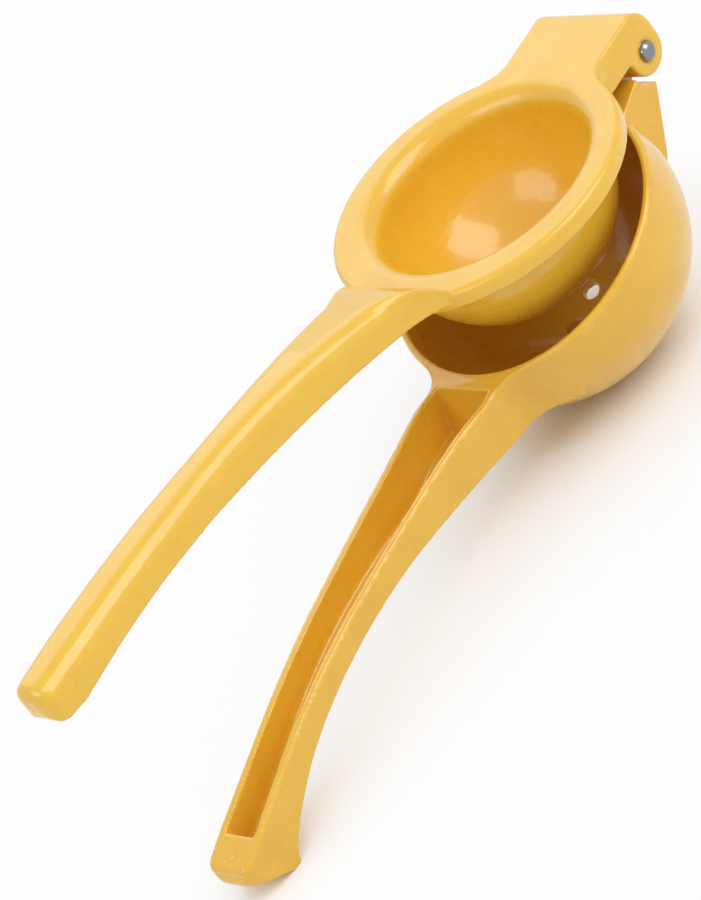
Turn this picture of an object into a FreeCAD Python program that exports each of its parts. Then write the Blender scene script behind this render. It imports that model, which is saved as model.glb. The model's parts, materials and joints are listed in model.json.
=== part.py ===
# Hinged lemon squeezer: a perforated strainer arm, a press arm with a domed cup, and the riveted
# pin they turn on. Each arm is drawn in its own frame, with its own cup axis upright, and is then
# set about the hinge so that the bowl and the heel of the strainer arm stand on the ground.
# Frame of the part: +X from the hinge to the handles, Y along the pin, +Z up, ground at z = 0.
import FreeCAD, Part
import math
import os
import Sketcher

# Driving dimensions, in millimetres and degrees. In each arm's frame z = 0 is its rim plane.
SIZES = {
    # hinge, in the press arm's frame and in the strainer arm's frame
    "hinge_back": -49.1,
    "press_hinge_drop": -10.1,
    "strainer_hinge_drop": -5.1,
    "hinge_place_x": -104.3,
    "opening_angle": 16.1,
    "pin_radius": 2.0,
    "pin_clearance": 0.05,
    "pin_head_radius": 2.45,
    "pin_head_dome": 1.3,
    "ear_dish_radius": 3.3,
    "ear_dish_depth": 0.35,
    # press arm: cup and ring
    "cup_radius": 26.3,
    "cup_wall": 2.3,
    "cup_centre_drop": 6.1,
    "cup_mouth_round": 4.8,
    "ring_radius": 36.2,
    "ring_shift": 1.5,
    "ring_thick": 4.7,
    "ring_top_round": 1.4,
    "ring_under_round": 0.8,
    # press arm: hinge block
    "block_width": 28.0,
    "block_under": -8.6,
    "block_front": -27.0,
    "block_top_back": -48.6,
    "block_back_radius": 11.25,
    "ear_radius": 5.8,
    "ear_front": -42.6,
    "web_round": 7.0,
    "web_end": -28.0,
    "slot_width": 14.4,
    "slot_radius": 6.6,
    "slot_front": -41.0,
    # strainer arm: bowl
    "bowl_shift": 0.7,
    "bowl_radius": 35.65,
    "bowl_bottom": -40.0,
    "bowl_waist": -7.0,
    "bowl_side_curve": 31.5,
    "bowl_inner_radius": 33.4,
    "bowl_inner_bottom": -37.4,
    "bowl_inner_curve": 28.9,
    "bowl_shoulder": -0.7,
    "bowl_shoulder_bevel": 0.3,
    "lip_inner_radius": 33.7,
    "lip_width": 1.55,
    "lip_bevel": 0.4,
    "drain_radius": 2.15,
    "drain_circle": 9.7,
    # strainer arm: hinge lug
    "lug_land": -4.9,
    "lug_front": -26.0,
    "lug_relief_radius": 7.4,
    "lug_bend_x": -33.5,
    "lug_bend_z": -21.65,
    "lug_foot": -24.4,
    "notch_width": 28.8,
    "knuckle_radius": 6.2,
    "knuckle_width": 13.6,
    # handles
    "wall_thick": 1.8,
    "flank_step": 0.4,
    "heel_x": 150.1,
    "heel_z": 4.2,
    "heel_length": 2.4,
}

STRAINER = "strainer_arm"
PRESS = "press_arm"
PIN = "hinge_pin"
LEFT = 1
RIGHT = -1
FAR = 60.0


def stance():
    """Works out how the strainer arm stands: on the round of its bowl and the edge of its heel."""
    bowl = [SIZES[name] for name in ("bowl_radius", "bowl_bottom", "bowl_waist", "bowl_side_curve")]
    centre = oval_joint(*bowl)[2]
    ball = centre - SIZES["bowl_bottom"]
    across = SIZES["heel_x"] - SIZES["bowl_shift"]
    up = centre - SIZES["heel_z"]
    tilt = math.asin(ball / math.hypot(across, up)) - math.atan2(up, across)
    ahead = SIZES["bowl_shift"] - SIZES["hinge_back"]
    above = centre - SIZES["strainer_hinge_drop"]
    height = ball + ahead * math.sin(tilt) - above * math.cos(tilt)
    return {
        "strainer_tilt": math.degrees(tilt),
        "press_tilt": math.degrees(tilt) - SIZES["opening_angle"],
        "hinge_place_z": height,
        "heel_rise": SIZES["heel_length"] * math.tan(tilt),
    }


def make_sheet(doc):
    """Writes the driving dimensions into a spreadsheet, one alias to a row."""
    sheet = doc.addObject("Spreadsheet::Sheet", "dims")
    for row, (alias, value) in enumerate((SIZES | stance()).items(), start=1):
        sheet.set(f"A{row}", alias)
        sheet.set(f"B{row}", str(value))
        sheet.setAlias(f"B{row}", alias)
    doc.recompute()
    return sheet


def origin_plane(body, role):
    """Finds an origin plane or axis of a body by its role."""
    return next(item for item in body.Origin.OriginFeatures if item.Role == role)


def new_sketch(body, name, role, shift=None):
    """Adds a sketch on an origin plane of the body, moved sideways where shift names a size."""
    sketch = body.newObject("Sketcher::SketchObject", name)
    sketch.AttachmentSupport = (origin_plane(body, role), [""])
    sketch.MapMode = "FlatFace"
    if shift:
        sketch.setExpression("AttachmentOffset.Base.x", shift)
    body.Document.recompute()
    return sketch


class Outline:
    """One closed outline in a sketch. A corner given in words is bound to the sheet, and one
    given as a number is only a first guess, which tangency then settles."""

    def __init__(self, sketch, x, y):
        self.sketch = sketch
        self.first = self.here = (x, y)
        self.edges = []
        self.heading = None

    def number(self, item):
        return float(self.sketch.evalExpression(item)) if isinstance(item, str) else float(item)

    def spot(self, corner):
        return FreeCAD.Vector(self.number(corner[0]), self.number(corner[1]), 0)

    def bind(self, kind, edge, end, item):
        """Fixes one coordinate of an edge's end, or its radius, to an expression."""
        value = self.number(item)
        place = (edge,) if kind == "Radius" else (edge, end)
        index = self.sketch.addConstraint(Sketcher.Constraint(kind, *place, value))
        self.sketch.setExpression(f"Constraints[{index}]", item)

    def add(self, shape, start_end, finish_end, corner, smooth, heading):
        """Joins a new edge to the last one and fixes the corner where it starts."""
        edge = self.sketch.addGeometry(shape, False)
        if self.edges:
            last, _, last_end = self.edges[-1]
            kind = "Tangent" if smooth else "Coincident"
            self.sketch.addConstraint(Sketcher.Constraint(kind, last, last_end, edge, start_end))
        for kind, item in zip(("DistanceX", "DistanceY"), self.here):
            if isinstance(item, str):
                self.bind(kind, edge, start_end, item)
        self.edges.append((edge, start_end, finish_end))
        self.here = corner
        self.heading = heading

    def line(self, x, y, smooth=False):
        start, finish = self.spot(self.here), self.spot((x, y))
        self.add(Part.LineSegment(start, finish), 1, 2, (x, y), smooth, finish - start)

    def arc(self, x, y, centre, turn, radius=None, smooth=False, centre_x=None, centre_y=None):
        """An arc about a centre; the radius or a coordinate of the centre may be bound."""
        start, finish = self.spot(self.here), self.spot((x, y))
        middle = self.spot(centre)
        ends = (start, finish) if turn == LEFT else (finish, start)
        angles = [math.atan2(end.y - middle.y, end.x - middle.x) for end in ends]
        if angles[1] <= angles[0]:
            angles[1] += 2 * math.pi
        circle = Part.Circle(middle, FreeCAD.Vector(0, 0, 1), (start - middle).Length)
        near, far = (1, 2) if turn == LEFT else (2, 1)
        spoke = (finish - middle) * turn
        heading = FreeCAD.Vector(-spoke.y, spoke.x, 0)
        self.add(Part.ArcOfCircle(circle, *angles), near, far, (x, y), smooth, heading)
        edge = self.edges[-1][0]
        if radius:
            self.bind("Radius", edge, 0, radius)
        if centre_x:
            self.bind("DistanceX", edge, 3, centre_x)
        if centre_y:
            self.bind("DistanceY", edge, 3, centre_y)

    def bow(self, x, y, radius, turn, smooth=False):
        """An arc of a given radius to a corner, the shorter way round."""
        start, finish = self.spot(self.here), self.spot((x, y))
        half = (finish - start) * 0.5
        reach = math.sqrt(self.number(radius) ** 2 - half.Length ** 2)
        across = FreeCAD.Vector(-half.y, half.x, 0).normalize()
        middle = start + half + across * reach * turn
        self.arc(x, y, (middle.x, middle.y), turn, radius=radius, smooth=smooth)

    def bend(self, x, y):
        """An arc to a corner that leaves the last edge smoothly."""
        start, finish = self.spot(self.here), self.spot((x, y))
        chord = finish - start
        side = FreeCAD.Vector(-self.heading.y, self.heading.x, 0).normalize()
        reach = chord.dot(chord) / (2 * chord.dot(side))
        middle = start + side * reach
        self.arc(x, y, (middle.x, middle.y), LEFT if reach > 0 else RIGHT, smooth=True)

    def close(self):
        """Closes the outline with a line back to its first corner."""
        self.line(*self.first)
        last, _, last_end = self.edges[-1]
        first, first_end, _ = self.edges[0]
        self.sketch.addConstraint(
            Sketcher.Constraint("Coincident", last, last_end, first, first_end)
        )
        self.sketch.Document.recompute()
        if "Invalid" in self.sketch.State or self.sketch.solve() != 0:
            raise RuntimeError(f"{self.sketch.Name} can't be solved")


def pad(body, sketch, width, name):
    """Pads a sketch by a width, half to each side of its plane."""
    feature = body.newObject("PartDesign::Pad", name)
    feature.Profile = sketch
    feature.SideType = "Symmetric"
    feature.setExpression("Length", width)
    body.Document.recompute()
    return feature


def cut_through(body, sketch, name):
    """Cuts a sketch right through the body, both ways, and makes sure that it took something."""
    before = body.Shape.Volume
    feature = body.newObject("PartDesign::Pocket", name)
    feature.Profile = sketch
    feature.SideType = "Symmetric"
    feature.Type = "ThroughAll"
    body.Document.recompute()
    if not body.Shape.Volume < before:
        raise RuntimeError(f"{name} cuts nothing")
    return feature


def mirror(body, feature, name):
    """Repeats a cut on the other side of the arm's middle plane."""
    mirrored = body.newObject("PartDesign::Mirrored", name)
    mirrored.Originals = [feature]
    mirrored.MirrorPlane = (origin_plane(body, "XZ_Plane"), [""])
    body.Tip = mirrored
    body.Document.recompute()
    return mirrored


def turn(body, sketch, name, kind="PartDesign::Revolution"):
    """Revolves a half outline, or grooves with it, about the sketch's upright axis."""
    feature = body.newObject(kind, name)
    feature.Profile = sketch
    feature.ReferenceAxis = (sketch, ["V_Axis"])
    feature.Angle = 360.0
    body.Document.recompute()
    return feature


def round_edges(body, name, radius, wanted):
    """Fillets the edges of the body's tip that the test accepts."""
    base = body.Tip
    names = [f"Edge{i}" for i, edge in enumerate(base.Shape.Edges, start=1) if wanted(edge)]
    feature = body.newObject("PartDesign::Fillet", name)
    feature.Base = (base, names)
    feature.setExpression("Radius", radius)
    body.Document.recompute()
    if feature.Shape.isNull() or not feature.Shape.isValid():
        raise RuntimeError(f"{name} failed on {names}")
    return feature


def join(doc, name, pieces):
    """Fuses the forms of one casting, one after another."""
    solid = pieces[0]
    for step, piece in enumerate(pieces[1:], start=1):
        fused = doc.addObject("Part::Fuse", f"{name}_{step}")
        fused.Base = solid
        fused.Tool = piece
        solid = fused
    doc.recompute()
    return solid


def cut(doc, name, base, tool):
    """Cuts one form out of another, and makes sure that it took something."""
    result = doc.addObject("Part::Cut", name)
    result.Base = base
    result.Tool = tool
    doc.recompute()
    if not result.Shape.Volume < base.Shape.Volume:
        raise RuntimeError(f"{name} cuts nothing")
    return result


def arm_form(doc, name, draw_side, draw_plan, width):
    """A form with a side outline and a plan: padded from the side, then trimmed to the plan."""
    body = doc.addObject("PartDesign::Body", name)
    side = new_sketch(body, f"{name}_side", "XZ_Plane")
    draw_side(side)
    pad(body, side, width, f"{name}_pad")
    plan = new_sketch(body, f"{name}_plan", "XY_Plane")
    draw_plan(plan)
    trim = cut_through(body, plan, f"{name}_trim")
    mirror(body, trim, f"{name}_mirror")
    return body


def draw_press_handle_side(sketch):
    """Side outline of the press handle: it leaves the ring steeply and levels off."""
    path = Outline(sketch, "31", "-4.0")
    path.line("45", "-0.4")
    path.bend("77", "6.6")
    path.bend("105", "11.6")
    path.bend("157", "13.9")
    path.line("164", "14.6")
    path.line("165", "15.8")
    path.line("165", "21.4")
    path.bow("162.2", "24.0", "2.7", LEFT)
    path.line("157", "24.0")
    path.bend("85", "18.5")
    path.bend("45", "9.1")
    path.bend("33.5", "-0.2")
    path.close()


def draw_press_handle_plan(sketch):
    """What is trimmed from one side of the press handle: its flanks draw in to a slim grip."""
    path = Outline(sketch, "30", "20")
    path.bow("45", "9.4", "19.4", LEFT)
    path.bend("78", "6.25")
    path.bend("117", "6.0")
    path.line("150", "6.1", smooth=False)
    path.line("161.5", "5.7")
    path.bow("165.0", "2.2", "3.6", RIGHT)
    path.line("168", "2.2")
    path.line("168", "30")
    path.line("30", "30")
    path.close()


def draw_press_channel_side(sketch):
    """Side outline of the hollow under the press handle."""
    path = Outline(sketch, "47.5", "-6")
    path.line("156.5", "2")
    path.line("155.5", "21.5")
    path.bow("85", "16.1", "470", LEFT)
    path.bow("50.5", "8.9", "264", LEFT)
    path.close()


def draw_press_channel_plan(sketch):
    """What is trimmed from one side of that hollow, a wall's thickness inside the handle."""
    path = Outline(sketch, "40", "8.4")
    path.line("46", "7.4")
    path.bow("78", "6.25 - dims.wall_thick", "150", LEFT)
    path.line("117", "6.0 - dims.wall_thick")
    path.line("150", "6.1 - dims.wall_thick")
    path.line("160", "5.8 - dims.wall_thick")
    path.line("160", "30")
    path.line("40", "30")
    path.close()


def draw_ring_half(sketch):
    """Half section of the ring, solid to its axis; the cup is hollowed out later."""
    path = Outline(sketch, "0", "0")
    path.line("0", "-dims.ring_thick")
    path.line("dims.ring_radius - dims.ring_under_round", "-dims.ring_thick")
    path.bow("dims.ring_radius", "dims.ring_under_round - dims.ring_thick",
             "dims.ring_under_round", LEFT)
    path.line("dims.ring_radius", "-dims.ring_top_round")
    path.bow("dims.ring_radius - dims.ring_top_round", "0", "dims.ring_top_round", LEFT)
    path.close()


def draw_dome_half(sketch):
    """Half section of the dome under the ring, solid to its axis."""
    outer = "dims.cup_radius + dims.cup_wall"
    path = Outline(sketch, "0", "-dims.ring_thick / 2")
    path.line("0", f"-dims.cup_centre_drop - ({outer})")
    path.bow(outer, "-dims.cup_centre_drop", outer, LEFT)
    path.line(outer, "-dims.ring_thick / 2")
    path.close()


def draw_cup_half(sketch):
    """Half section of the hollow of the cup, with its wide rolled mouth."""
    mouth = "dims.cup_radius + dims.cup_mouth_round"
    path = Outline(sketch, "0", "5")
    path.line("0", "-dims.cup_centre_drop - dims.cup_radius")
    path.bow("dims.cup_radius", "-dims.cup_centre_drop", "dims.cup_radius", LEFT)
    path.line("dims.cup_radius", "-dims.cup_mouth_round")
    path.bow(mouth, "0", "dims.cup_mouth_round", RIGHT)
    path.line(mouth, "5")
    path.close()


def draw_block_side(sketch):
    """Side outline of the hinge block, with its round back and the ears about the pin."""
    path = Outline(sketch, "dims.block_front", "0")
    path.line("dims.block_top_back", "0")
    path.bow("dims.hinge_back - dims.ear_radius", "dims.press_hinge_drop",
             "dims.block_back_radius", LEFT)
    path.arc("dims.hinge_back + dims.ear_radius", "dims.press_hinge_drop",
             ("dims.hinge_back", "dims.press_hinge_drop"), LEFT, centre_y="dims.press_hinge_drop")
    path.line("dims.ear_front", "dims.block_under")
    path.line("dims.block_front", "dims.block_under")
    path.close()


def draw_web_plan(sketch):
    """Plan of the web that blends the ring into the hinge block with a round on each side."""
    half = "dims.block_width / 2"
    far = f"({half} + dims.web_round)"
    reach = "(dims.ring_radius + dims.web_round)"
    foot = f"dims.ring_shift - sqrt({reach} ^ 2 - {far} ^ 2)"
    touch_x = f"dims.ring_shift + dims.ring_radius / {reach} * ({foot} - dims.ring_shift)"
    touch_y = f"dims.ring_radius / {reach} * {far}"
    path = Outline(sketch, foot, f"-({half})")
    path.bow(touch_x, f"-({touch_y})", "dims.web_round", RIGHT)
    path.line("dims.web_end", f"-({touch_y})")
    path.line("dims.web_end", touch_y)
    path.line(touch_x, touch_y)
    path.bow(foot, half, "dims.web_round", RIGHT)
    path.close()


def draw_slot_side(sketch):
    """Side outline of the slot between the ears, round over the strainer arm's knuckle."""
    path = Outline(sketch, "dims.slot_front", "dims.press_hinge_drop")
    path.line("dims.hinge_back + dims.slot_radius", "dims.press_hinge_drop")
    path.arc("dims.hinge_back - dims.slot_radius", "dims.press_hinge_drop",
             ("dims.hinge_back", "dims.press_hinge_drop"), LEFT, centre_y="dims.press_hinge_drop")
    path.line("dims.hinge_back - dims.slot_radius", "-30")
    path.line("dims.slot_front", "-30")
    path.close()


def cylinder_on_hinge(doc, name, radius, length, drop):
    """A cylinder along the pin's axis in an arm's own frame."""
    tool = doc.addObject("Part::Cylinder", name)
    tool.Placement.Rotation = FreeCAD.Rotation(FreeCAD.Vector(1, 0, 0), 90)
    tool.setExpression("Radius", radius)
    tool.setExpression("Height", length)
    tool.setExpression("Placement.Base.x", "dims.hinge_back")
    tool.setExpression("Placement.Base.y", f"({length}) / 2")
    tool.setExpression("Placement.Base.z", drop)
    return tool


def make_ear_dish(doc, side):
    """The shallow dish in an ear's outer face that the pin's head is upset into."""
    dish = doc.addObject("Part::Cone", "ear_dish")
    dish.Placement.Rotation = FreeCAD.Rotation(FreeCAD.Vector(1, 0, 0), 90 * side)
    dish.setExpression("Radius1", "dims.ear_dish_radius")
    dish.setExpression("Radius2", "dims.pin_head_radius + 2 * dims.pin_clearance")
    dish.setExpression("Height", "dims.ear_dish_depth")
    dish.setExpression("Placement.Base.x", "dims.hinge_back")
    dish.setExpression("Placement.Base.y", f"{side} * dims.block_width / 2")
    dish.setExpression("Placement.Base.z", "dims.press_hinge_drop")
    return dish


def make_press_arm(doc):
    """The press arm: cup, ring, hinge block with two ears, and a hollow handle."""
    ring = doc.addObject("PartDesign::Body", "press_ring_form")
    section = new_sketch(ring, "ring_section", "XZ_Plane", "dims.ring_shift")
    draw_ring_half(section)
    turn(ring, section, "ring_turned")
    dome = doc.addObject("PartDesign::Body", "press_dome_form")
    section = new_sketch(dome, "dome_section", "XZ_Plane")
    draw_dome_half(section)
    turn(dome, section, "dome_turned")
    block = doc.addObject("PartDesign::Body", "press_block_form")
    side = new_sketch(block, "block_side", "XZ_Plane")
    draw_block_side(side)
    pad(block, side, "dims.block_width", "block_pad")
    round_edges(block, "block_rounds", "dims.ring_under_round", lambda edge: is_block_rim(edge))
    web = doc.addObject("PartDesign::Body", "press_web_form")
    plan = new_sketch(web, "web_plan", "XY_Plane")
    draw_web_plan(plan)
    web_pad = web.newObject("PartDesign::Pad", "web_pad")
    web_pad.Profile = plan
    web_pad.Reversed = True
    web_pad.setExpression("Length", "dims.ring_thick")
    doc.recompute()
    round_edges(web, "web_rounds", "dims.ring_under_round", lambda edge: is_web_rim(edge))
    handle = arm_form(doc, "press_handle_form", draw_press_handle_side, draw_press_handle_plan,
                      "60")
    solid = join(doc, "press_solid", [ring, dome, block, web, handle])
    hollow = doc.addObject("PartDesign::Body", "cup_hollow")
    section = new_sketch(hollow, "cup_section", "XZ_Plane")
    draw_cup_half(section)
    turn(hollow, section, "cup_turned")
    channel = arm_form(doc, "press_channel", draw_press_channel_side, draw_press_channel_plan, "40")
    slot = doc.addObject("PartDesign::Body", "ear_slot")
    side = new_sketch(slot, "slot_side", "XZ_Plane")
    draw_slot_side(side)
    pad(slot, side, "dims.slot_width", "slot_pad")
    bore = cylinder_on_hinge(doc, "ear_bore", "dims.pin_radius", "dims.block_width + 2",
                             "dims.press_hinge_drop")
    doc.recompute()
    hollowed = cut(doc, "press_hollowed", solid, hollow)
    channelled = cut(doc, "press_channelled", hollowed, channel)
    slotted = cut(doc, "press_slotted", channelled, slot)
    near_dished = cut(doc, "near_ear_dished", slotted, make_ear_dish(doc, 1))
    far_dished = cut(doc, "far_ear_dished", near_dished, make_ear_dish(doc, -1))
    arm = cut(doc, PRESS, far_dished, bore)
    return arm


def is_block_rim(edge):
    """Tells an edge along a flank of the hinge block: its top, its back or an ear's rim."""
    box = edge.BoundBox
    return box.YLength < 0.01 and box.XMin < SIZES["ear_front"] - 0.1


def is_web_rim(edge):
    """Tells a rounded top edge of the web."""
    box = edge.BoundBox
    return box.ZMin > -0.01 and box.XLength > 0.5 and 0.5 < box.YLength < 20


# Strainer arm

def oval_joint(radius, bottom, waist, side_curve):
    """Where a bowl's bottom arc meets its side arc, and the bottom arc's centre height."""
    inset = radius - side_curve
    depth = waist - bottom
    big = (inset ** 2 + depth ** 2 - side_curve ** 2) / (2 * (depth - side_curve))
    centre = bottom + big
    run = math.hypot(inset, waist - centre)
    return inset + side_curve * inset / run, waist + side_curve * (waist - centre) / run, centre


def draw_oval(path, radius, bottom, waist, side_curve):
    """Draws a bowl's side from its bottom on the axis up to its waist."""
    numbers = [path.number(item) for item in (radius, bottom, waist, side_curve)]
    joint_x, joint_z, centre = oval_joint(*numbers)
    path.arc(joint_x, joint_z, (0.0, centre), LEFT, centre_x="0")
    inset = numbers[0] - numbers[3]
    path.arc(radius, waist, (inset, numbers[2]), LEFT, radius=side_curve, smooth=True,
             centre_y=waist)


def draw_bowl_half(sketch):
    """Half section of the bowl, solid to its axis, with its shoulder and raised lip."""
    outer = "dims.lip_inner_radius + dims.lip_width"
    path = Outline(sketch, "0", "dims.bowl_bottom")
    draw_oval(path, "dims.bowl_radius", "dims.bowl_bottom", "dims.bowl_waist",
              "dims.bowl_side_curve")
    path.line("dims.bowl_radius", "dims.bowl_shoulder - dims.bowl_shoulder_bevel")
    path.line("dims.bowl_radius - dims.bowl_shoulder_bevel", "dims.bowl_shoulder")
    path.line(outer, "dims.bowl_shoulder")
    path.line(outer, "-dims.lip_bevel")
    path.line(f"{outer} - dims.lip_bevel", "0")
    path.line("0", "0")
    path.close()


def draw_bowl_hollow_half(sketch):
    """Half section of the hollow of the bowl."""
    path = Outline(sketch, "0", "dims.bowl_inner_bottom")
    draw_oval(path, "dims.bowl_inner_radius", "dims.bowl_inner_bottom", "dims.bowl_waist",
              "dims.bowl_inner_curve")
    path.line("dims.lip_inner_radius", "-dims.lip_bevel")
    path.line("dims.lip_inner_radius + dims.lip_bevel", "0")
    path.line("dims.lip_inner_radius + dims.lip_bevel", "30")
    path.line("0", "30")
    path.close()


def draw_strainer_top(path, drop):
    """The handle's upper line from the toe back to the bowl, let down by a size."""
    path.line("133", f"18.1 + {drop}")
    path.bend("95", f"14.3 + {drop}")
    path.bend("53.2", f"5.0 + {drop}")
    path.bend("44.6", f"2.3 + {drop}")
    path.bend("37.0", drop)


def draw_strainer_body_side(sketch):
    """Side outline of the strainer handle below its raised lip, down to the heel."""
    path = Outline(sketch, "30", "-18")
    path.line("73", "0.6")
    path.bend("121", "11.2")
    path.bend("141", "8.9")
    path.bend("149", "5.8")
    path.line("dims.heel_x", "dims.heel_z")
    path.line("dims.heel_x + dims.heel_length", "dims.heel_z + dims.heel_rise")
    path.line("158.4", "11.8")
    path.bow("160.4", "14.6", "6", LEFT)
    path.bow("158", "18.2 + dims.bowl_shoulder", "5", LEFT)
    draw_strainer_top(path, "dims.bowl_shoulder")
    path.line("28", "dims.bowl_shoulder")
    path.line("28", "-10")
    path.close()


def draw_strainer_lip_side(sketch):
    """Side outline of the raised lip that runs along the handle's walls to the toe."""
    path = Outline(sketch, "28", "dims.bowl_shoulder - 1.5")
    path.line("37", "dims.bowl_shoulder - 1.5")
    path.line("54", "2.8")
    path.line("95", "12.4")
    path.line("133", "16.1")
    path.line("156", "16.1")
    path.line("159.2", "17.1")
    path.bow("158", "18.2", "3", LEFT)
    draw_strainer_top(path, "0")
    path.line("28", "0")
    path.close()


def draw_strainer_plan(sketch, step):
    """What is trimmed from one side of the strainer handle, a step outside its lip."""
    path = Outline(sketch, "26.5", f"23.6 + {step}")
    path.line("33.1", f"14.6 + {step}")
    path.bow("40.4", f"9.4 + {step}", "8.6", LEFT)
    path.bow("47.4", f"9.2 + {step}", "20", RIGHT)
    path.bow("64", f"7.75 + {step}", "200", LEFT)
    path.bow("120", f"5.8 + {step}", "2200", LEFT)
    path.bow("149", f"6.0 + {step}", "700", LEFT)
    path.line("156.5", f"5.8 + {step}")
    path.bow("160.4", "2.4", "4.6", RIGHT)
    path.line("164", "2.4")
    path.line("164", "40")
    path.line("26.5", "40")
    path.close()


def draw_strainer_body_plan(sketch):
    """Plan trim of the handle's flanks, which stand a little outside the lip."""
    draw_strainer_plan(sketch, "dims.flank_step")


def draw_strainer_lip_plan(sketch):
    """Plan trim of the raised lip."""
    draw_strainer_plan(sketch, "0")


def draw_strainer_channel_side(sketch):
    """Side outline of the trough in the strainer handle."""
    path = Outline(sketch, "45", "-9.2")
    path.line("73", "2.6")
    path.bow("121", "13.6", "137", RIGHT)
    path.line("149.9", "13.3")
    path.line("152.3", "30")
    path.line("37.5", "30")
    path.line("38.5", "0")
    path.close()


def draw_strainer_channel_plan(sketch):
    """What is trimmed from one side of the trough, a wall's thickness inside the lip."""
    path = Outline(sketch, "34", "8.3")
    path.line("38.4", "9.4 - dims.wall_thick")
    path.bow("47.4", "9.4 - dims.wall_thick", "26", RIGHT)
    path.bow("64", "7.9 - dims.wall_thick", "200", LEFT)
    path.bow("120", "5.8 - dims.wall_thick", "2200", LEFT)
    path.bow("149", "6.0 - dims.wall_thick", "700", LEFT)
    path.line("153", "6.0 - dims.wall_thick")
    path.line("153", "30")
    path.line("34", "30")
    path.close()


def draw_lug_side(sketch):
    """Side outline of the lug beside the ears, relieved about the pin."""
    reach = "(dims.lug_relief_radius ^ 2 - (dims.lug_land - dims.strainer_hinge_drop) ^ 2)"
    path = Outline(sketch, "dims.lug_front", "dims.lug_land")
    path.line(f"dims.hinge_back + sqrt{reach}", "dims.lug_land")
    path.arc("-45.0", "dims.strainer_hinge_drop - sqrt(dims.lug_relief_radius ^ 2 - "
             "(-45.0 - dims.hinge_back) ^ 2)", ("dims.hinge_back", "dims.strainer_hinge_drop"),
             RIGHT)
    path.line("dims.lug_bend_x", "dims.lug_bend_z")
    path.bend("dims.lug_front", "dims.lug_foot")
    path.close()


def draw_knuckle_web_side(sketch):
    """Side outline of the web that carries the knuckle between the ears."""
    path = Outline(sketch, "-36", "dims.lug_land - 0.3")
    path.line("dims.hinge_back + 2", "dims.lug_land - 0.3")
    path.line("dims.hinge_back + 0.6", "dims.strainer_hinge_drop - 4.9")
    path.line("-44.0", "-11.8")
    path.line("-38", "-15")
    path.close()


def draw_notch_side(sketch):
    """Side outline of the gap in the rim that lets the hinge block through."""
    path = Outline(sketch, "-15", "dims.lug_land")
    path.line("-15", "20")
    path.line("-41.0", "20")
    path.line("-41.0", "dims.lug_land")
    path.close()


def draw_drain(sketch, across):
    """One drain hole's circle on the bowl's middle line, across its axis by a size."""
    number = float(sketch.evalExpression(across))
    centre = FreeCAD.Vector(number, 0, 0)
    circle = Part.Circle(centre, FreeCAD.Vector(0, 0, 1), SIZES["drain_radius"])
    edge = sketch.addGeometry(circle, False)
    for kind, place, size in (
        ("DistanceX", (edge, 3), across),
        ("DistanceY", (edge, 3), "0"),
        ("Radius", (edge,), "dims.drain_radius"),
    ):
        value = float(sketch.evalExpression(size))
        index = sketch.addConstraint(Sketcher.Constraint(kind, *place, value))
        sketch.setExpression(f"Constraints[{index}]", size)


def make_drains(doc, body):
    """Drills the drain holes: one in the middle and six around it."""
    ring_sketch = new_sketch(body, "drain_plan", "XY_Plane", "dims.bowl_shift")
    draw_drain(ring_sketch, "-dims.drain_circle")
    doc.recompute()
    first = body.newObject("PartDesign::Pocket", "drain_hole")
    first.Profile = ring_sketch
    first.Length = FAR
    doc.recompute()
    pattern = body.newObject("PartDesign::PolarPattern", "drain_ring")
    pattern.Originals = [first]
    pattern.Axis = (ring_sketch, ["N_Axis"])
    pattern.Angle = 360.0
    pattern.Occurrences = 6
    body.Tip = pattern
    doc.recompute()
    middle_sketch = new_sketch(body, "middle_drain_plan", "XY_Plane", "dims.bowl_shift")
    draw_drain(middle_sketch, "0")
    doc.recompute()
    middle = body.newObject("PartDesign::Pocket", "middle_drain")
    middle.Profile = middle_sketch
    middle.Length = FAR
    doc.recompute()


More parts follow.
